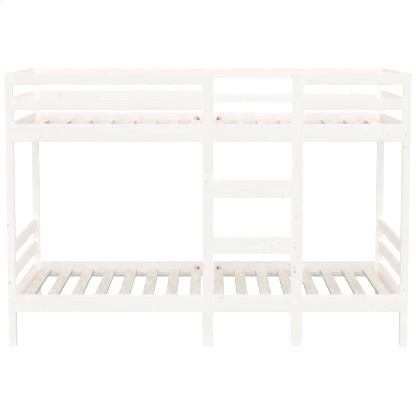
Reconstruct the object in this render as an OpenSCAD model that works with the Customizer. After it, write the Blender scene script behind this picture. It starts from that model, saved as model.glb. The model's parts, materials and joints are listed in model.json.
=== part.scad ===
// Bunk bed with an integrated ladder: two slatted sleeping levels between four corner posts.
// Frame: origin on the floor under the middle of the bed, X along the bed, front towards -Y, Z up.

/* [Frame] */
// Length over the corner posts
bed_l = 2060; // [2055:5:2095]
// Depth over the corner posts
bed_d = 1030; // [930:5:1230]
// Width of a corner post, along the bed
post_w = 40; // [36:1:40]
// Depth of a corner post, across the bed
post_d = 60; // [56:1:70]
// Radius of the eased long edges
edge_r = 3; // [1:0.5:4]
// Height of the corner posts above the top guard boards
post_reveal = 3; // [2:1:30]

/* [Boards] */
// Thickness of every rail, guard and step board
board_t = 22; // [21:1:24]
// Thickness of an end board
end_t = 26; // [22:1:30]
// Height of a rail board or step board
rail_h = 92; // [88:1:110]
// Height of a guard board
guard_h = 60; // [54:1:66]
// Gap under each guard board
guard_gap = 69; // [60:1:75]
// Setback of the long boards behind the faces of the corner posts
long_inset = 14; // [10:1:18]
// Setback of the end boards behind the faces of the corner posts
end_inset = 4; // [2:1:8]
// Height of the lower rails above the floor
lower_z = 180; // [120:1:220]
// Height of the upper rails above the floor
upper_z = 1062; // [1040:1:1200]
// Height of the narrower board on the right of the rear low guard
narrow_guard_h = 54; // [48:1:60]
// Drop of the narrower board below its left neighbour
narrow_guard_drop = 13; // [0:1:20]

/* [Ladder] */
// Width of a ladder stile
stile_w = 60; // [54:1:66]
// Depth of a ladder stile
stile_d = 30; // [26:1:34]
// Clear width between the stiles
ladder_w = 397; // [380:1:410]
// Height of the lower step above the floor
step_z = 483; // [470:1:490]
// Rise from one step to the next
step_rise = 291; // [285:1:295]
// Length of the bare tongue at each end of a step
tongue_l = 10; // [6:1:14]
// Setback of the tongue behind the step's face
tongue_drop = 3; // [2:1:5]

/* [Slat bases] */
// Number of slats on each level
slat_count = 16; // [12:2:16]
// Width of a slat
slat_w = 62; // [50:1:62]
// Thickness of a slat
slat_t = 18; // [14:1:20]
// Distance from one slat to the next
slat_pitch = 126.6; // [126:0.1:126.6]
// Shift of the row of slats from the middle of the bed
slat_shift = -6; // [-6:1:0]
// Height of the slat tops above the underside of the rails
slat_level = 47; // [44:1:48]
// Depth of the ledger strips that carry the slats
ledger_d = 30; // [28:1:34]
// Height of the ledger strips
ledger_h = 12; // [10:1:14]
// Gap between the end of a slat and the stiles
slat_end_gap = 3; // [1:1:5]

/* [Fittings] */
// Diameter of the corner bolts, step bolts and studs
bolt_d = 6; // [5:1:8]
// Diameter of a bolt head
head_d = 12.6; // [12:0.1:14]
// Diameter of a barrel nut
barrel_d = 10; // [9:0.5:12]
// Diameter of the rods through the stiles
rod_d = 8; // [6:1:8]
// Diameter of the round pocket around a rod nut
pocket_d = 35; // [32:1:36]
// Diameter of the wooden dowels
dowel_d = 8; // [6:1:8]
// Diameter of the wood screws
screw_d = 4; // [3:0.5:4.5]

/* [Hidden] */
$fn = 48;
eps = 0.01;
fit = 0.2;

// Planes that the boards meet
half_l = bed_l / 2;
half_d = bed_d / 2;
inner_x = half_l - post_w;
inner_y = half_d - post_d;
long_mid_y = half_d - long_inset - board_t / 2;
long_inner_y = long_mid_y - board_t / 2;
end_mid_x = half_l - end_inset - end_t / 2;

// Heights above the underside of the rails of one level
low_guard_rise = rail_h + guard_gap;
top_guard_rise = low_guard_rise + guard_h + guard_gap;
stile_h = upper_z + top_guard_rise + guard_h;
post_h = stile_h + post_reveal;

// The left stile stands in the middle of the bed, and the rear post stands behind it
stile_mid_y = half_d - long_inset - stile_d / 2;
ladder_left = stile_w / 2;
ladder_right = ladder_left + ladder_w;

// Fittings, measured into a board from its end
barrel_at = 30;
barrel_l = 16;
bolt_reach = 41;
end_nut_at = 40;
stud_reach = 51;
stud_grip = 11;
end_dowel_shift = 4;
head_h = 5;
head_sink = 7;
socket_af = 5;
socket_deep = 3;
pocket_at = 35;
pocket_deep = 18;
washer_flat = 24;
washer_l = 12;
rod_reach = 33;
rod_rise = 4;
rod_nut_h = 6.5;
rod_nut_af = 13;
rail_dowels = [-32, 32];
guard_dowels = [-16, 16];
bolted_guard_dowels = [-18];
step_dowels = [-28];
step_bolt_rise = 12;
dowel_l = 40;
screw_head_d = 8;
screw_head_h = 2.4;
drive_w = 2.2;
drive_deep = 1.4;
slat_screw_inset = 9;
ledger_screw_l = 44;
ledger_end_gap = 4;

// Slats
slat_half_l = half_d - long_inset - stile_d - slat_end_gap;
slat_first_x = slat_shift - slat_pitch * (slat_count - 1) / 2;
slats_per_half = slat_count / 2;
ledger_rise = slat_level - slat_t - ledger_h;
slat_screw_l = slat_t + ledger_h - 2;

PAINT = "ivory";
RAW_PINE = "burlywood";
BEECH = "tan";
ZINC = "silver";
DARK_STEEL = "dimgray";

LEVELS = [["lower", lower_z], ["upper", upper_z]];
ENDS = [["left", -1], ["right", 1]];
SIDES = [["front", -1], ["rear", 1]];
GUARDS = [["low", low_guard_rise], ["top", top_guard_rise]];

// Stretches that a long board fills: side of the bed, name, start and end along X
SPANS = [
    ["front", "left", -inner_x, -ladder_left],
    ["front", "middle", ladder_left, ladder_right],
    ["front", "right", ladder_right + stile_w, inner_x],
    ["rear", "left", -inner_x, -ladder_left],
    ["rear", "right", ladder_left, inner_x]
];

// Every board is a list: name, first end, last end, side or end of the bed, underside, height
RAIL_BOARDS = [
    for (level = LEVELS, span = SPANS)
        [str(level[0], "_", span[0], "_rail_", span[1]),
            span[2], span[3], side_of(span[0]), level[1], rail_h]
];
GUARD_BOARDS = [
    for (guard = GUARDS, span = SPANS)
        if (span[1] != "middle")
            let (narrow = span[0] == "rear" && span[1] == "right" && guard[0] == "low")
            [str(span[0], "_", guard[0], "_guard_", span[1]),
                span[2], span[3], side_of(span[0]),
                upper_z + guard[1] - (narrow ? narrow_guard_drop : 0),
                narrow ? narrow_guard_h : guard_h]
];
LONG_BOARDS = concat(RAIL_BOARDS, GUARD_BOARDS);
END_BOARDS = [
    for (level = LEVELS, end = ENDS)
        each concat(
            [[str(level[0], "_", end[0], "_end_rail"), -inner_y, inner_y, end[1], level[1], rail_h]],
            [for (guard = GUARDS)
                [str(level[0], "_", end[0], "_end_", guard[0], "_guard"),
                    -inner_y, inner_y, end[1], level[1] + guard[1], guard_h]]
        )
];
STEPS = [["lower_step", step_z], ["upper_step", step_z + step_rise]];
STILES = [
    ["ladder_left_stile", 0, -1],
    ["ladder_right_stile", stile_w + ladder_w, -1],
    ["rear_middle_post", 0, 1]
];
FITTINGS = ["corner_bolts", "step_bolts", "barrel_nuts", "stile_rods", "rod_washers", "rod_nuts",
    "dowels", "ledger_screws", "slat_screws"];

function side_of(name) = name == "front" ? -1 : 1;
function post_name(side, end) = str(side[0], "_", end[0], "_post");
function slats_name(level, end) = str(level[0], "_slats_", end[0]);
function ledgers_name(level, side) = str(level[0], "_", side[0], "_ledgers");
function slat_x(i) = slat_first_x + i * slat_pitch;
function at_corner(x) = abs(x) == inner_x;
function middle(board) = board[4] + board[5] / 2;
function is_rail(board) = board[5] == rail_h;

// Section of a planed board with eased corners, centred
module eased_section(a, b) {
    square([a - 2 * edge_r, b], center = true);
    square([a, b - 2 * edge_r], center = true);
    for (u = [-1, 1], v = [-1, 1])
        translate([u * (a / 2 - edge_r), v * (b / 2 - edge_r)]) circle(r = edge_r);
}

// Board lying along X, its section centred on y and z
module bar_x(x0, x1, y, z, t, h) {
    translate([x0, y, z]) rotate([90, 0, 90]) linear_extrude(x1 - x0) eased_section(t, h);
}

// Board lying along Y, its section centred on x and z
module bar_y(y0, y1, x, z, t, h) {
    translate([x, y1, z]) rotate([90, 0, 0]) linear_extrude(y1 - y0) eased_section(t, h);
}

// Upright of height h with every edge eased, standing on the floor
module upright(x, y, w, d, h) {
    intersection() {
        translate([x, y, 0]) linear_extrude(h) eased_section(w, d);
        bar_x(x - w, x + w, y, h / 2, d, h);
        bar_y(y - d, y + d, x, h / 2, w, h);
    }
}

// Round bar along X from x0 to x1
module round_x(x0, x1, d) {
    translate([x0, 0, 0]) rotate([0, 90, 0]) cylinder(d = d, h = x1 - x0);
}

// Puts a fitting at the end of a long board: its +X runs into the board, its -Y to the inside of the bed
module at_long_end(x, into, side, z) {
    translate([x, side * long_mid_y, z])
        mirror([into < 0 ? 1 : 0, 0, 0])
            mirror([0, side < 0 ? 1 : 0, 0])
                children();
}

// Puts a fitting at both ends of a long board that meet a corner post, or that don't
module at_ends(board, corner) {
    for (tip = [[board[1], 1], [board[2], -1]])
        if (at_corner(tip[0]) == corner)
            at_long_end(tip[0], tip[1], board[3], middle(board)) children();
}

// Puts a fitting at both ends of an end board: its +X runs into the board, its -Y to the inside of the bed
module at_end_tips(board) {
    for (side = [-1, 1])
        translate([board[3] * end_mid_x, side * inner_y, middle(board)])
            rotate([0, 0, 90])
                mirror([side > 0 ? 1 : 0, 0, 0])
                    mirror([0, board[3] > 0 ? 1 : 0, 0])
                        children();
}

// Puts a fitting at both ends of every step
module at_step_ends() {
    for (step = STEPS, tip = [[ladder_left, 1], [ladder_right, -1]])
        at_long_end(tip[0], tip[1], -1, step[1] + rail_h / 2) children();
}

// Corner or step bolt: its head is sunk in the far face of a member of this thickness
module bolt(through) {
    difference() {
        union() {
            round_x(-through + head_sink - head_h, -through + head_sink, head_d);
            round_x(-through + head_sink, bolt_reach, bolt_d);
        }
        translate([-through + head_sink - head_h - eps, 0, 0])
            rotate([0, 90, 0]) cylinder(d = socket_af / cos(30), h = socket_deep, $fn = 6);
    }
}

module bolt_bore(through) {
    round_x(-through - eps, -through + head_sink, head_d + 2 * fit);
    round_x(-through, bolt_reach + fit, bolt_d + 2 * fit);
    barrel_bore(barrel_at, board_t);
}

// Hole for a barrel nut, from the inner face of a board of this thickness
module barrel_bore(at, thickness) {
    translate([at, -thickness / 2 - eps, 0])
        rotate([-90, 0, 0]) cylinder(d = barrel_d + 2 * fit, h = (thickness + barrel_l) / 2 + fit);
}

// Stud set in a corner post, hidden in the end of an end board
module stud() {
    round_x(-stud_grip, stud_reach, bolt_d);
}

module stud_bore() {
    round_x(-stud_grip - fit, stud_reach + fit, bolt_d + 2 * fit);
    barrel_bore(end_nut_at, end_t);
}

module barrel_nut(at = barrel_at) {
    translate([at, 0, 0]) difference() {
        rotate([90, 0, 0]) cylinder(d = barrel_d, h = barrel_l, center = true);
        round_x(-barrel_d, barrel_d, bolt_d + fit);
        translate([0, -barrel_l / 2, 0]) cube([barrel_d, 2, 1.4], center = true);
    }
}

// Pocket in the inner face of a rail, and the bore from the rail's end for the rod
module rod_bore() {
    translate([0, 0, rod_rise]) {
        round_x(-stile_w / 2, pocket_at, rod_d + 2 * fit);
        translate([pocket_at, -board_t / 2 - eps, 0])
            rotate([-90, 0, 0]) cylinder(d = pocket_d, h = pocket_deep);
    }
}

// Half-moon washer, its round back against the wall of the pocket
module rod_washer() {
    translate([0, 0, rod_rise]) difference() {
        intersection() {
            translate([pocket_at, -washer_l / 2, 0])
                rotate([-90, 0, 0]) cylinder(d = pocket_d - fit, h = washer_l);
            translate([0, -washer_l, -pocket_d / 2]) cube([washer_flat, 2 * washer_l, pocket_d]);
        }
        round_x(0, pocket_at, rod_d + 2 * fit);
    }
}

module rod_nut() {
    translate([washer_flat, 0, rod_rise]) difference() {
        rotate([0, 90, 0]) cylinder(d = rod_nut_af / cos(30), h = rod_nut_h, $fn = 6);
        round_x(-eps, rod_nut_h + eps, rod_d + fit);
    }
}

// Dowels across a joint at these heights from the middle of the board, or their holes
module dowel_set(rises, slack = 0) {
    for (rise = rises)
        translate([0, 0, rise]) round_x(-dowel_l / 2 - slack, dowel_l / 2 + slack, dowel_d + 2 * slack);
}

// Everything drilled at a joint between a long board and a corner post
module corner_bores(board) {
    at_ends(board, true) {
        bolt_bore(post_w);
        dowel_set(is_rail(board) ? rail_dowels : bolted_guard_dowels, fit);
    }
}

// Everything drilled at a joint between a long board and a stile or the rear middle post
module stile_bores(board) {
    at_ends(board, false) {
        dowel_set(is_rail(board) ? rail_dowels : guard_dowels, fit);
        if (is_rail(board)) rod_bore();
    }
}

module step_bores() {
    at_step_ends() {
        translate([0, 0, step_bolt_rise]) bolt_bore(stile_w);
        dowel_set(step_dowels, fit);
    }
}

// Dowels between an end board and the two posts, or their holes
module end_dowels(board, slack = 0) {
    for (side = [-1, 1])
        translate([board[3] * end_mid_x, side * (inner_y - end_dowel_shift), middle(board)])
            rotate([0, 0, 90]) dowel_set(is_rail(board) ? rail_dowels : guard_dowels, slack);
}

module corner_post(side, end) {
    color(PAINT) difference() {
        upright(end * (half_l - post_w / 2), side * (half_d - post_d / 2), post_w, post_d, post_h);
        for (board = LONG_BOARDS)
            if (board[3] == side && (board[1] == end * inner_x || board[2] == end * inner_x))
                corner_bores(board);
        for (board = END_BOARDS)
            if (board[3] == end) {
                end_dowels(board, fit);
                at_end_tips(board) stud_bore();
            }
    }
}

module stile(x, side) {
    color(PAINT) difference() {
        upright(x, side * stile_mid_y, stile_w, stile_d, stile_h);
        for (board = LONG_BOARDS)
            if (board[3] == side) stile_bores(board);
        if (side < 0) step_bores();
    }
}

module long_board(board) {
    color(PAINT) difference() {
        bar_x(board[1], board[2], board[3] * long_mid_y, middle(board), board_t, board[5]);
        corner_bores(board);
        stile_bores(board);
        if (is_rail(board)) at_ledger_screws(board[4], board[3]) screw_bore(ledger_screw_l);
    }
}

module end_board(board) {
    color(PAINT) difference() {
        bar_y(board[1], board[2], board[3] * end_mid_x, middle(board), end_t, board[5]);
        end_dowels(board, fit);
        at_end_tips(board) stud_bore();
    }
}

// Step board between the stiles, with a thinner tongue at each end
module step(z) {
    color(PAINT) difference() {
        bar_x(ladder_left, ladder_right, -long_mid_y, z + rail_h / 2, board_t, rail_h);
        for (x = [ladder_left, ladder_right - tongue_l])
            translate([x - eps, -long_mid_y - board_t, z - rail_h])
                cube([tongue_l + 2 * eps, board_t / 2 + tongue_drop, 3 * rail_h]);
        step_bores();
    }
}

// Countersunk wood screw pointing down from z = 0, with a square drive
module screw(l) {
    difference() {
        union() {
            translate([0, 0, -screw_head_h]) cylinder(d1 = screw_d, d2 = screw_head_d, h = screw_head_h);
            translate([0, 0, -l]) cylinder(d = screw_d, h = l - screw_head_h);
        }
        translate([0, 0, -drive_deep / 2 + eps]) cube([drive_w, drive_w, drive_deep], center = true);
    }
}

module screw_bore(l) {
    translate([0, 0, -screw_head_h - fit])
        cylinder(d1 = screw_d + fit, d2 = screw_head_d + 2 * fit, h = screw_head_h + fit + eps);
    translate([0, 0, -l - fit]) cylinder(d = screw_d + fit, h = l);
}

// Places for the slat screws of slats first to last on one level
module at_slat_screws(level_z, first, last) {
    for (i = [first : last], side = [-1, 1])
        translate([slat_x(i), side * (slat_half_l - slat_screw_inset), level_z + slat_level]) children();
}

// Places for the ledger screws on one side, between every second pair of slats
module at_ledger_screws(level_z, side) {
    for (i = [0 : 2 : slat_count - 2])
        translate([slat_x(i + 0.5), side * (long_inner_y - ledger_d), level_z + ledger_rise + ledger_h / 2])
            rotate([side * 90, 0, 0]) children();
}

module ledgers(level_z, side) {
    color(RAW_PINE) difference() {
        for (span = SPANS)
            if (side_of(span[0]) == side)
                translate([span[2] + ledger_end_gap, side * (long_inner_y - ledger_d / 2) - ledger_d / 2,
                    level_z + ledger_rise])
                    cube([span[3] - span[2] - 2 * ledger_end_gap, ledger_d, ledger_h]);
        at_ledger_screws(level_z, side) screw_bore(ledger_screw_l);
        at_slat_screws(level_z, 0, slat_count - 1) screw_bore(slat_screw_l);
    }
}

module slats(level_z, first) {
    last = first + slats_per_half - 1;
    color(RAW_PINE) difference() {
        for (i = [first : last])
            bar_y(-slat_half_l, slat_half_l, slat_x(i), level_z + slat_level - slat_t / 2, slat_w, slat_t);
        at_slat_screws(level_z, first, last) screw_bore(slat_screw_l);
    }
}

module corner_bolts() {
    color(ZINC) {
        for (board = LONG_BOARDS)
            at_ends(board, true) bolt(post_w);
        for (board = END_BOARDS)
            at_end_tips(board) stud();
    }
}

module step_bolts() {
    color(ZINC) at_step_ends()
        translate([0, 0, step_bolt_rise]) bolt(stile_w);
}

module barrel_nuts() {
    color(ZINC) {
        for (board = LONG_BOARDS)
            at_ends(board, true) barrel_nut();
        for (board = END_BOARDS)
            at_end_tips(board) barrel_nut(end_nut_at);
        at_step_ends()
            translate([0, 0, step_bolt_rise]) barrel_nut();
    }
}

// One rod through each stile and the rear middle post on each level
module stile_rods() {
    color(ZINC) for (level = LEVELS, stile = STILES)
        translate([stile[1], stile[2] * long_mid_y, level[1] + rail_h / 2 + rod_rise])
            round_x(-stile_w / 2 - rod_reach, stile_w / 2 + rod_reach, rod_d);
}

module rod_washers() {
    color(DARK_STEEL) for (board = RAIL_BOARDS)
        at_ends(board, false) rod_washer();
}

module rod_nuts() {
    color(DARK_STEEL) for (board = RAIL_BOARDS)
        at_ends(board, false) rod_nut();
}

module dowels() {
    color(BEECH) {
        for (board = LONG_BOARDS) {
            at_ends(board, true) dowel_set(is_rail(board) ? rail_dowels : bolted_guard_dowels);
            at_ends(board, false) dowel_set(is_rail(board) ? rail_dowels : guard_dowels);
        }
        for (board = END_BOARDS) end_dowels(board);
        at_step_ends() dowel_set(step_dowels);
    }
}

module ledger_screws() {
    color(ZINC) for (level = LEVELS, side = SIDES)
        at_ledger_screws(level[1], side[1]) screw(ledger_screw_l);
}

module slat_screws() {
    color(ZINC) for (level = LEVELS)
        at_slat_screws(level[1], 0, slat_count - 1) screw(slat_screw_l);
}

for (side = SIDES, end = ENDS)
    corner_post(side[1], end[1]);
for (item = STILES)
    stile(item[1], item[2]);
for (item = STEPS)
    step(item[1]);
for (board = LONG_BOARDS)
    long_board(board);
for (board = END_BOARDS)
    end_board(board);
for (level = LEVELS, side = SIDES)
    ledgers(level[1], side[1]);
for (level = LEVELS, end = ENDS)
    slats(level[1], end[1] < 0 ? 0 : slats_per_half);
corner_bolts();
step_bolts();
barrel_nuts();
stile_rods();
rod_washers();
rod_nuts();
dowels();
ledger_screws();
slat_screws();
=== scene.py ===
"""Bunk bed with ladder: looks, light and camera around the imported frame."""

import json
import math
import random

import bpy
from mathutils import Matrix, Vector


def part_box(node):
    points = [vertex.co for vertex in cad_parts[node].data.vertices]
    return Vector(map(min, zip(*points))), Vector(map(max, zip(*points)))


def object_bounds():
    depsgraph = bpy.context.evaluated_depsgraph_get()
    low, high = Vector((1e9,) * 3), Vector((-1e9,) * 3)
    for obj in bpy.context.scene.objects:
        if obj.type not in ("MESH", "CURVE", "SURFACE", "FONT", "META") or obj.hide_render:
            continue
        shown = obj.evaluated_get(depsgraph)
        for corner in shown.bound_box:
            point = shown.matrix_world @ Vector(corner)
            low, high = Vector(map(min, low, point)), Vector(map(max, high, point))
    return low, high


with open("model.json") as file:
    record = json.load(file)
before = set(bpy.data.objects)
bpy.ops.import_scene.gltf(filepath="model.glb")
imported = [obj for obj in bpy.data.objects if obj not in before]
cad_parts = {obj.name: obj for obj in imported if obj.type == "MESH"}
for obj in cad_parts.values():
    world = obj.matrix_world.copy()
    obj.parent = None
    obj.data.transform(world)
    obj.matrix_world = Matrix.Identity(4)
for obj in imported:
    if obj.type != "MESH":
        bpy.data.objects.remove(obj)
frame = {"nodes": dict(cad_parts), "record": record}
cad_low, cad_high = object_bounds()

# Camera: distance from the front posts, height of the lens, and how the view is framed
CAMERA_DISTANCE = 6.505
CAMERA_HEIGHT = 1.609
CAMERA_LENS = 111.34
HORIZON_RISE = 0.4188  # of the frame's width, how far above its middle the level line of sight falls
CAMERA_SHIFT = 0.09  # the share of that rise taken by the lens shift; tilt takes the rest
SENSOR_WIDTH = 36.0

# Light: what the sky gives the bed, and what the camera sees of the floor's own glow
SKY_LIGHT = 0.30
FLOOR_GLOW = 0.75
# Far lamps: name, compass angle, height angle, strength, width in degrees, casts shadows, shows in gloss
LAMPS = (
    ("front", 0, 27, 0.28, 30, True, True),
    ("front_left", -50, 35, 0.16, 60, True, True),
    ("front_right", 50, 35, 0.16, 60, True, True),
    ("front_fill", 0, 20, 0.85, 60, False, True),
    ("side_left", -72, 22, 1.48, 60, False, True),
    ("side_right", 72, 22, 1.48, 60, False, True),
    ("rear", 180, 0, 0.80, 60, False, False),
    ("rear_left", -140, 40, 0.46, 60, False, True),
    ("rear_right", 140, 40, 0.46, 60, False, True),
)

# Finishes, in linear light: clear wood, late wood, knots, worn edges, wood that was cut after painting, and
# for raw pine the sawn faces darkened further by painted shade
WASHED = {
    "plain": (0.868, 0.846, 0.824),
    "late": (0.785, 0.735, 0.690),
    "knot": (0.50, 0.40, 0.33),
    "edge": (0.835, 0.800, 0.755),
    "cut": (0.86, 0.76, 0.60),
}
RAW = {
    "plain": (0.868, 0.842, 0.785),
    "late": (0.600, 0.555, 0.470),
    "knot": (0.30, 0.22, 0.15),
    "edge": (0.620, 0.555, 0.460),
    # Sawn faces, darker wood deepened with painted shade
    "sawn_and_shade": (0.42, 0.36, 0.27),
    "cut": (0.86, 0.76, 0.60),
}
BEECH = {
    "plain": (0.62, 0.44, 0.28),
    "late": (0.48, 0.31, 0.18),
    "knot": (0.30, 0.18, 0.10),
    "edge": (0.52, 0.36, 0.22),
    "cut": (0.48, 0.31, 0.18),
}
# Boards that differ a little in tone from the others of their finish; among them the rear posts are lightened
# with painted light against the shade that falls on them, and the upper rear ledgers are darkened with
# painted shade
TINTS_AND_PAINTED_LIGHT = (
    ("rear_low_guard", (0.970, 0.980, 1.000)),
    ("rear_top_guard", (0.985, 0.980, 0.985)),
    ("rear_rail", (0.980, 0.975, 1.000)),
    ("rear_left_post", (1.060, 1.065, 1.070)),
    ("rear_right_post", (1.055, 1.055, 1.060)),
    ("upper_rear_ledgers", (0.88, 0.87, 0.87)),
    ("upper_slats", (1.03, 1.035, 1.055)),
)
# Inner faces of the end boards, painted light: painted shade darkens the upper end rails and the right end
# boards, painted light brightens the left end boards, and all carry a warm tint of painted bounce light
INNER_FACE_PAINTED_LIGHT = (
    ("upper_left_end_rail", (0.90, 0.85, 0.84)),
    ("upper_right_end_rail", (0.92, 0.87, 0.86)),
    ("_left_end_", (1.035, 1.005, 1.0)),
    ("_right_end_", (0.99, 0.965, 0.955)),
)
MM = 0.001
SLAT_PITCH = 0.1266
# Pine: width of a year's ring, cells of the grid that holds wild knots, and where a knot's core fades out
RING_WIDTH = 4.6 * MM
KNOT_CELL = (0.34, 0.075)
CORE_FADE = (0.45, 1.25)
# How far a knot bends the rings and by how much, in radii of the knot
SWELL_REACH = 1.9
SWELL_HEIGHT = 1.8
FLOOR_HALF = 60.0
FLOOR_DROP = 0.5 * MM
LAMP_AWAY = 6.0


class Graph:
    """Builds shader nodes with one call each; sockets and plain numbers are taken alike."""

    def __init__(self, tree):
        self.tree = tree

    def node(self, kind, *values, out=0, **settings):
        made = self.tree.nodes.new(kind)
        for name, value in settings.items():
            setattr(made, name, value)
        for socket, value in zip(made.inputs, values):
            self.feed(socket, value)
        return made.outputs[out]

    def feed(self, socket, value):
        if value is None:
            return
        if isinstance(value, bpy.types.NodeSocket):
            self.tree.links.new(value, socket)
        elif socket.type == "RGBA" and len(value) == 3:
            socket.default_value = (*value, 1.0)
        else:
            socket.default_value = value

    def math(self, operation, *values, clamp=False):
        return self.node("ShaderNodeMath", *values, operation=operation, use_clamp=clamp)

    def vector(self, operation, *values, out=0):
        return self.node("ShaderNodeVectorMath", *values, operation=operation, out=out)

    def step(self, value, low, high):
        return self.node("ShaderNodeMapRange", value, low, high, 0.0, 1.0, interpolation_type="SMOOTHSTEP")

    def split(self, vector):
        made = self.tree.nodes.new("ShaderNodeSeparateXYZ")
        self.feed(made.inputs[0], vector)
        return made.outputs

    def join(self, x, y, z):
        return self.node("ShaderNodeCombineXYZ", x, y, z)

    def noise(self, vector, scale, detail=2.0, rough=0.5, out=0):
        made = self.tree.nodes.new("ShaderNodeTexNoise")
        self.feed(made.inputs["Vector"], vector)
        made.inputs["Scale"].default_value = scale
        made.inputs["Detail"].default_value = detail
        made.inputs["Roughness"].default_value = rough
        return made.outputs[out]

    def blend(self, share, a, b):
        made = self.tree.nodes.new("ShaderNodeMix")
        made.data_type = "RGBA"
        self.feed(made.inputs[0], share)
        self.feed(made.inputs[6], a)
        self.feed(made.inputs[7], b)
        return made.outputs[2]


def group(name, inputs, outputs):
    """A new node group with these sockets; gives the group, its graph, and its input sockets by name."""
    tree = bpy.data.node_groups.new(name, "ShaderNodeTree")
    for label, kind in inputs:
        tree.interface.new_socket(label, in_out="INPUT", socket_type=kind)
    for label, kind in outputs:
        tree.interface.new_socket(label, in_out="OUTPUT", socket_type=kind)
    entry = tree.nodes.new("NodeGroupInput")
    return tree, Graph(tree), {label: entry.outputs[label] for label, _ in inputs}


def finish_group(tree, graph, **outputs):
    out = tree.nodes.new("NodeGroupOutput")
    for label, value in outputs.items():
        graph.feed(out.inputs[label], value)
    return tree


FLOAT, VECTOR = "NodeSocketFloat", "NodeSocketVector"


def swelling(g, far, radius):
    """How strongly a knot bends the rings at this distance: a bell curve."""
    far = g.math("DIVIDE", far, g.math("MULTIPLY", radius, SWELL_REACH))
    return g.math("EXPONENT", g.math("MULTIPLY", g.math("POWER", far, 2.0), -1.0))


def make_pine():
    """Sawn pine in a board's own space: X along the grain, Y across its face, Z through it, in metres."""
    tree, g, given = group(
        "pine",
        [
            ("Place", VECTOR), ("Pith", VECTOR), ("Knot", FLOAT),
            ("Bulge", FLOAT), ("Rarity", FLOAT), ("Wild", FLOAT),
        ],
        [("Late", FLOAT), ("Fibre", FLOAT), ("Knot", FLOAT), ("Cloud", FLOAT)],
    )
    along, across, through = g.split(given["Place"])[:3]
    # Knots: one point in some cells of a long grid, each with its own radius
    grid = g.join(g.math("DIVIDE", along, KNOT_CELL[0]), g.math("DIVIDE", across, KNOT_CELL[1]), 0.0)
    voronoi = g.tree.nodes.new("ShaderNodeTexVoronoi")
    voronoi.voronoi_dimensions = "2D"
    g.feed(voronoi.inputs["Vector"], grid)
    voronoi.inputs["Scale"].default_value = 1.0
    chance, size, _ = g.split(voronoi.outputs["Color"])[:3]
    centre = g.split(voronoi.outputs["Position"])
    off_along = g.math("SUBTRACT", along, g.math("MULTIPLY", centre[0], KNOT_CELL[0]))
    off_across = g.math("SUBTRACT", across, g.math("MULTIPLY", centre[1], KNOT_CELL[1]))
    away = g.vector("LENGTH", g.join(g.math("MULTIPLY", off_along, 0.75), off_across, 0.0), out=1)
    radius = g.math("MULTIPLY_ADD", size, 6.0 * MM, 3.0 * MM)
    there = g.step(g.math("SUBTRACT", chance, given["Rarity"]), 0.0, 0.02)
    wild = g.math("SUBTRACT", 1.0, g.step(g.math("DIVIDE", away, radius), *CORE_FADE))
    wild = g.math("MULTIPLY", there, wild)
    far = g.vector("LENGTH", g.join(g.math("MULTIPLY", off_along, 0.36), off_across, 0.0), out=1)
    height = g.math("MULTIPLY", there, g.math("MULTIPLY", radius, SWELL_HEIGHT))
    bulge = g.math("ADD", g.math("MULTIPLY", swelling(g, far, radius), height), given["Bulge"])
    # Growth rings round a pith that wanders
    long_way = g.vector("MULTIPLY", given["Place"], (1.0, 2.5, 2.5))
    wander = g.vector("SUBTRACT", g.noise(long_way, 1.1, 1.0, out=1), (0.5, 0.5, 0.5))
    ripple = g.vector("SUBTRACT", g.noise(long_way, 9.0, 2.0, out=1), (0.5, 0.5, 0.5))
    bent = g.vector("ADD", given["Place"], g.vector("MULTIPLY", wander, (0.0, 0.055, 0.055)))
    bent = g.vector("ADD", bent, g.vector("MULTIPLY", ripple, (0.0, 0.0045, 0.0045)))
    from_pith = g.vector("MULTIPLY", g.vector("SUBTRACT", bent, given["Pith"]), (0.0, 1.0, 1.0))
    ring = g.math("DIVIDE", g.math("ADD", g.vector("LENGTH", from_pith, out=1), bulge), RING_WIDTH)
    part = g.math("FRACT", ring)
    year = g.math("FLOOR", ring)
    strength = g.node("ShaderNodeTexWhiteNoise", None, year, noise_dimensions="1D")
    late = g.math("MULTIPLY", g.step(part, 0.35, 0.86), g.math("SUBTRACT", 1.0, g.step(part, 0.90, 1.0)))
    late = g.math("MULTIPLY", late, g.math("MULTIPLY_ADD", strength, 0.6, 0.4))
    # Fine fibre, and slow clouds of colour
    fibre = g.noise(g.vector("MULTIPLY", given["Place"], (14.0, 900.0, 900.0)), 1.0, 3.0, 0.6)
    cloud = g.noise(g.vector("MULTIPLY", given["Place"], (1.6, 9.0, 9.0)), 1.0, 3.0)
    knot = g.math("MAXIMUM", g.math("MULTIPLY", wild, given["Wild"]), given["Knot"])
    return finish_group(tree, g, Late=late, Fibre=fibre, Knot=knot, Cloud=cloud)


def make_knot():
    """One knot at a chosen point of a board's face: its core, and how far it bends the rings."""
    tree, g, given = group(
        "knot",
        [("Place", VECTOR), ("Centre", VECTOR), ("Radius", FLOAT), ("Strength", FLOAT)],
        [("Core", FLOAT), ("Bulge", FLOAT)],
    )
    off = g.vector("MULTIPLY", g.vector("SUBTRACT", given["Place"], given["Centre"]), (0.8, 1.0, 0.0))
    away = g.vector("LENGTH", off, out=1)
    core = g.math("SUBTRACT", 1.0, g.step(g.math("DIVIDE", away, given["Radius"]), *CORE_FADE))
    core = g.math("MULTIPLY", core, given["Strength"])
    far = g.vector("LENGTH", g.vector("MULTIPLY", off, (0.45, 1.0, 0.0)), out=1)
    height = g.math("MULTIPLY", given["Radius"], SWELL_HEIGHT)
    bulge = g.math("MULTIPLY", swelling(g, far, given["Radius"]), height)
    return finish_group(tree, g, Core=core, Bulge=bulge)


PINE = make_pine()
KNOT = make_knot()


def put_group(g, tree, **values):
    made = g.tree.nodes.new("ShaderNodeGroup")
    made.node_tree = tree
    for name, value in values.items():
        g.feed(made.inputs[name.capitalize()], value)
    return made.outputs


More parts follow.
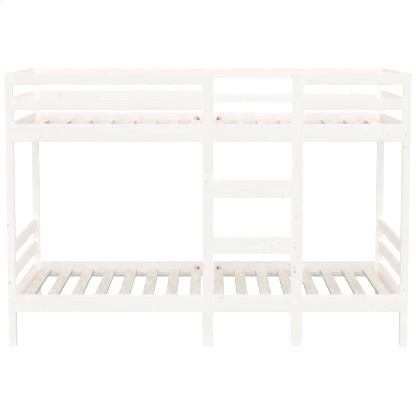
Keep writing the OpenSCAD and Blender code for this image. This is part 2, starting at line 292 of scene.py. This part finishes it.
def new_material(name, roughness, specular=0.5):
    made = bpy.data.materials.new(name)
    made.use_nodes = True
    made.node_tree.nodes.clear()
    g = Graph(made.node_tree)
    shader = made.node_tree.nodes.new("ShaderNodeBsdfPrincipled")
    shader.inputs["Roughness"].default_value = roughness
    shader.inputs["Specular IOR Level"].default_value = specular
    out = made.node_tree.nodes.new("ShaderNodeOutputMaterial")
    made.node_tree.links.new(shader.outputs[0], out.inputs[0])
    return made, g, shader


def board_space(g, grain, low, high):
    """Place and the surface's direction in the board's own space, from its middle, and its half size."""
    order = ["XYZ".index(axis) for axis in grain]
    middle, half = (low + high) / 2, (high - low) / 2
    here = g.split(g.vector("SUBTRACT", g.node("ShaderNodeTexCoord", out=3), tuple(middle)))
    facing = g.split(g.node("ShaderNodeTexCoord", out=1))
    place = g.join(*[here[i] for i in order])
    facing = g.vector("ABSOLUTE", g.join(*[facing[i] for i in order]))
    return place, facing, [half[i] for i in order]


def wood(
    name, grain, low, high, tones, contrast, rarity, wild,
    knots=(), separate=None, bore_depth=None, sawn_and_shade=0.0, painted_inner_light=None,
):
    """Pine board. grain names the axes along the grain, across the face and through the board."""
    rng = random.Random(name)
    made, g, shader = new_material(name, 0.5, 0.35)
    offset = Vector(rng.uniform(-40, 40) for _ in range(3))
    pith = offset + Vector((0.0, rng.uniform(-0.05, 0.05), rng.choice((-1, 1)) * rng.uniform(0.03, 0.09)))
    place, facing, half = board_space(g, grain, low, high)
    seeded, shade = g.vector("ADD", place, tuple(offset)), None
    if separate:
        seeded, shade = separate(g, place, seeded)
    core, bulge = 0.0, 0.0
    for along, across, radius, strength in knots:
        centre = (2 * (along - 0.5) * half[0], 2 * (across - 0.5) * half[1], 0.0)
        out = put_group(g, KNOT, place=place, centre=centre, radius=radius * MM, strength=strength)
        core = g.math("MAXIMUM", core, out["Core"])
        bulge = g.math("ADD", bulge, out["Bulge"])
    pine = put_group(
        g, PINE, place=seeded, pith=tuple(pith), knot=core, bulge=bulge, rarity=rarity, wild=wild
    )
    # How much the surface is end grain, a rounded edge, a sawn side darkened with painted shade, or the wall
    # of a bore
    sides = g.split(facing)
    end_grain = g.step(sides[0], 0.6, 0.8)
    flattest = g.math("MAXIMUM", sides[0], g.math("MAXIMUM", sides[1], sides[2]))
    edge = g.math("SUBTRACT", 1.0, g.step(flattest, 0.90, 0.995))
    worn = g.math("MULTIPLY", edge, g.step(g.noise(seeded, 26.0, 3.0), 0.30, 0.62))
    share = g.math("MULTIPLY", pine["Late"], contrast)
    share = g.math("MULTIPLY_ADD", g.math("SUBTRACT", pine["Fibre"], 0.5), contrast * 0.6, share)
    share = g.math("MULTIPLY_ADD", g.math("SUBTRACT", pine["Cloud"], 0.5), contrast * 1.6, share)
    share = g.math("MULTIPLY_ADD", end_grain, 0.35, share)
    share = g.math("MAXIMUM", share, 0.0, clamp=True)
    tint = rng.uniform(0.985, 1.0)
    colour = g.blend(share, tuple(c * tint for c in tones["plain"]), tones["late"])
    # Painted light and shade on the inner face of an end board
    if painted_inner_light:
        inward = g.math("MULTIPLY", g.split(place)[2], -math.copysign(1.0, (low.x + high.x) / 2))
        painted_inner_colour = g.vector("MULTIPLY", colour, painted_inner_light)
        colour = g.blend(g.step(inward, 0.8 * half[2], 0.98 * half[2]), colour, painted_inner_colour)
    # Painted shade on sawn faces: slat sides and ledger tops and bottoms are darkened, partly for sawn wood
    # and partly for the shade between and under the slats
    if sawn_and_shade:
        colour = g.blend(g.math("MULTIPLY", g.step(sides[1], 0.6, 0.9), sawn_and_shade), colour, tones["sawn_and_shade"])
    colour = g.blend(g.math("MULTIPLY", worn, 0.75), colour, tones["edge"])
    colour = g.blend(pine["Knot"], colour, tones["knot"])
    if shade:
        colour = g.blend(shade, colour, tones["late"])
    if bore_depth:
        here = g.split(g.vector("ABSOLUTE", place))
        depth = [g.math("SUBTRACT", half[i], here[i]) for i in range(3)]
        depth = g.math("MINIMUM", depth[0], g.math("MINIMUM", depth[1], depth[2]))
        colour = g.blend(g.step(depth, bore_depth, bore_depth * 1.5), colour, tones["cut"])
    g.feed(shader.inputs["Base Color"], colour)
    rough = g.math("MULTIPLY_ADD", pine["Fibre"], 0.25, 0.42)
    g.feed(shader.inputs["Roughness"], g.math("MULTIPLY_ADD", end_grain, 0.2, rough, clamp=True))
    relief = g.math("MULTIPLY_ADD", pine["Late"], 0.5, g.math("MULTIPLY", pine["Fibre"], 0.6))
    relief = g.math("MULTIPLY_ADD", pine["Knot"], 0.7, relief)
    bump = g.tree.nodes.new("ShaderNodeBump")
    bump.inputs["Strength"].default_value = 0.35
    bump.inputs["Distance"].default_value = 0.25 * MM
    g.feed(bump.inputs["Height"], relief)
    g.feed(shader.inputs["Normal"], bump.outputs[0])
    return made


def metal(name, colour, roughness, grain=900.0):
    made, g, shader = new_material(name, roughness)
    here = g.node("ShaderNodeTexCoord", out=3)
    speckle = g.noise(here, grain, 3.0, 0.6)
    g.feed(shader.inputs["Base Color"], g.blend(speckle, colour, tuple(c * 0.82 for c in colour)))
    shader.inputs["Metallic"].default_value = 1.0
    g.feed(shader.inputs["Roughness"], g.math("MULTIPLY_ADD", speckle, 0.25, roughness - 0.1))
    return made


# Knots that show: place as shares of a board's length and of its face, radius in millimetres, strength
FRONT_KNOTS = {
    "front_left_post": [
        (0.449, 0.23, 7, 0.30), (0.279, 0.30, 6, 0.18), (0.239, 0.30, 7, 0.36), (0.881, 0.55, 6, 0.10),
    ],
    "ladder_left_stile": [(0.647, 0.37, 6, 0.24), (0.607, 0.33, 7, 0.28)],
    "ladder_right_stile": [(0.367, 0.34, 7, 0.28), (0.292, 0.26, 6, 0.45), (0.278, 0.34, 7, 0.65)],
    "front_right_post": [(0.777, 0.32, 7, 0.20), (0.734, 0.20, 7, 0.34), (0.384, 0.32, 6, 0.12)],
    "lower_front_rail_left": [(0.150, 0.36, 9, 0.12), (0.187, 0.69, 6, 0.08), (0.764, 0.30, 8, 0.07)],
    "lower_front_rail_right": [(0.630, 0.69, 7, 0.10), (0.712, 0.42, 7, 0.12), (0.855, 0.36, 8, 0.10)],
    "upper_front_rail_left": [(0.150, 0.34, 7, 0.10)],
    "upper_front_rail_right": [(0.855, 0.44, 7, 0.10)],
    "lower_step": [(0.749, 0.46, 9, 0.16)],
    "rear_low_guard_left": [(0.134, 0.56, 7, 0.22)],
}
UPRIGHTS = ("post", "stile")


def grain_of(name):
    """The axes along the grain, across the face and through the board."""
    if name.endswith(UPRIGHTS):
        return "ZXY"
    if "_end_" in name:
        return "YZX"
    if "slats" in name:
        return "YXZ"
    return "XZY"


def slat_spread(g, place, seeded):
    """Gives each slat of a group its own stretch of grain and its own tone, by its place across the group."""
    along, across, through = g.split(seeded)[:3]
    index = g.math("FLOOR", g.math("DIVIDE", g.split(place)[1], SLAT_PITCH))
    own = g.node("ShaderNodeTexWhiteNoise", None, g.math("ADD", index, 0.5), noise_dimensions="1D")
    moved = g.join(g.math("MULTIPLY_ADD", index, 3.7, along), across, through)
    figure = g.noise(g.vector("MULTIPLY", moved, (7.0, 48.0, 48.0)), 1.0, 3.0, 0.55)
    own = g.math("MULTIPLY", own, 0.16)
    return moved, g.math("MULTIPLY_ADD", g.step(figure, 0.35, 0.68), 0.38, own)


def tinted_with_painted_light(tones, name):
    """The tones with the first tint that fits this board, painted light and painted shade among them."""
    tint = next((tint for part, tint in TINTS_AND_PAINTED_LIGHT if part in name), (1.0, 1.0, 1.0))
    return {tone: tuple(c * t for c, t in zip(colour, tint)) for tone, colour in tones.items()}


def dress(name, node):
    """Gives a CAD node its finish."""
    low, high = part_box(name)
    slot = next(s["material_slot"] for s in frame["record"]["subparts"] if s["node"] == name)
    grain = grain_of(name)
    if slot == "white_pine":
        depth = (4.0 if name.endswith("step") else 1.2) * MM
        knots = FRONT_KNOTS.get(name, ())
        painted_inner_light = next((tint for part, tint in INNER_FACE_PAINTED_LIGHT if part in name), None)
        made = wood(
            name, grain, low, high, tinted_with_painted_light(WASHED, name), 0.30, 0.80, 0.22,
            knots, bore_depth=depth, painted_inner_light=painted_inner_light,
        )
    elif slot == "raw_pine":
        spread = slat_spread if "slats" in name else None
        # The second weight darkens sawn faces with painted shade, most on the slat sides
        contrast, sawn_and_shade = (0.45, 0.90) if spread else (0.25, 0.40)
        tones = tinted_with_painted_light(RAW, name)
        made = wood(name, grain, low, high, tones, contrast, 0.45, 0.55, separate=spread, sawn_and_shade=sawn_and_shade)
    elif slot == "beech":
        made = wood(name, grain, low, high, BEECH, 0.5, 2.0, 0.0)
    elif name == "rod_washers":
        made = metal(name, (0.90, 0.77, 0.56), 0.5)
    elif slot == "dark_steel":
        made = metal(name, (0.06, 0.055, 0.05), 0.5)
    elif name == "barrel_nuts":
        made = metal(name, (0.96, 0.94, 0.88), 0.6)
    else:
        made = metal(name, (0.74, 0.75, 0.77), 0.35)
    node.data.materials.clear()
    node.data.materials.append(made)


for node_name, node in frame["nodes"].items():
    dress(node_name, node)


def make_floor():
    """Plain pale floor under and around the bed."""
    mesh = bpy.data.meshes.new("floor")
    corners = [(x * FLOOR_HALF, y * FLOOR_HALF) for x, y in ((-1, -1), (1, -1), (1, 1), (-1, 1))]
    mesh.from_pydata([(x, y, cad_low.z - FLOOR_DROP) for x, y in corners], [], [(0, 1, 2, 3)])
    floor = bpy.data.objects.new("floor", mesh)
    bpy.context.scene.collection.objects.link(floor)
    made, g, shader = new_material("floor", 0.9, 0.1)
    here = g.node("ShaderNodeTexCoord", out=3)
    g.feed(shader.inputs["Base Color"], g.blend(g.noise(here, 2.0), (0.52, 0.52, 0.52), (0.50, 0.50, 0.50)))
    shader.inputs["Emission Color"].default_value = (1.0, 1.0, 1.0, 1.0)
    seen = g.node("ShaderNodeLightPath")
    g.feed(shader.inputs["Emission Strength"], g.math("MULTIPLY", seen, FLOOR_GLOW))
    mesh.materials.append(made)


def make_lamp(name, azimuth, elevation, strength, width, shadow, gloss):
    """A far lamp: azimuth 0 stands in front of the bed, and it goes round by +X as the angle grows."""
    lamp = bpy.data.lights.new(name, "SUN")
    lamp.energy, lamp.angle, lamp.use_shadow = strength, math.radians(width), shadow
    made = bpy.data.objects.new(name, lamp)
    made.visible_glossy = gloss
    made.rotation_euler = (math.radians(90 - elevation), 0.0, math.radians(azimuth))
    made.location = made.rotation_euler.to_matrix() @ Vector((0.0, 0.0, LAMP_AWAY))
    bpy.context.scene.collection.objects.link(made)


def make_light_rig():
    """White studio all round: the camera sees it as white, and the lamps do part of the lighting."""
    world = bpy.data.worlds.new("studio")
    world.use_nodes = True
    g = Graph(world.node_tree)
    backdrop = world.node_tree.nodes["Background"]
    backdrop.inputs[0].default_value = (1.0, 1.0, 1.0, 1.0)
    seen = g.node("ShaderNodeLightPath")
    g.feed(backdrop.inputs[1], g.math("MAXIMUM", seen, SKY_LIGHT))
    bpy.context.scene.world = world
    for lamp in LAMPS:
        make_lamp(*lamp)


def make_camera():
    """Camera in front of the bed at eye height, tilted down by what the lens shift leaves."""
    lens = bpy.data.cameras.new("camera")
    lens.lens, lens.sensor_width = CAMERA_LENS, SENSOR_WIDTH
    lens.shift_y = -CAMERA_SHIFT
    camera = bpy.data.objects.new("camera", lens)
    camera.location = ((cad_low.x + cad_high.x) / 2, cad_low.y - CAMERA_DISTANCE, cad_low.z + CAMERA_HEIGHT)
    tilt = math.atan((HORIZON_RISE - CAMERA_SHIFT) * SENSOR_WIDTH / CAMERA_LENS)
    camera.rotation_euler = (math.pi / 2 - tilt, 0.0, 0.0)
    bpy.context.scene.collection.objects.link(camera)
    bpy.context.scene.camera = camera


make_floor()
make_light_rig()
make_camera()
bpy.context.scene.view_settings.view_transform = "Standard"
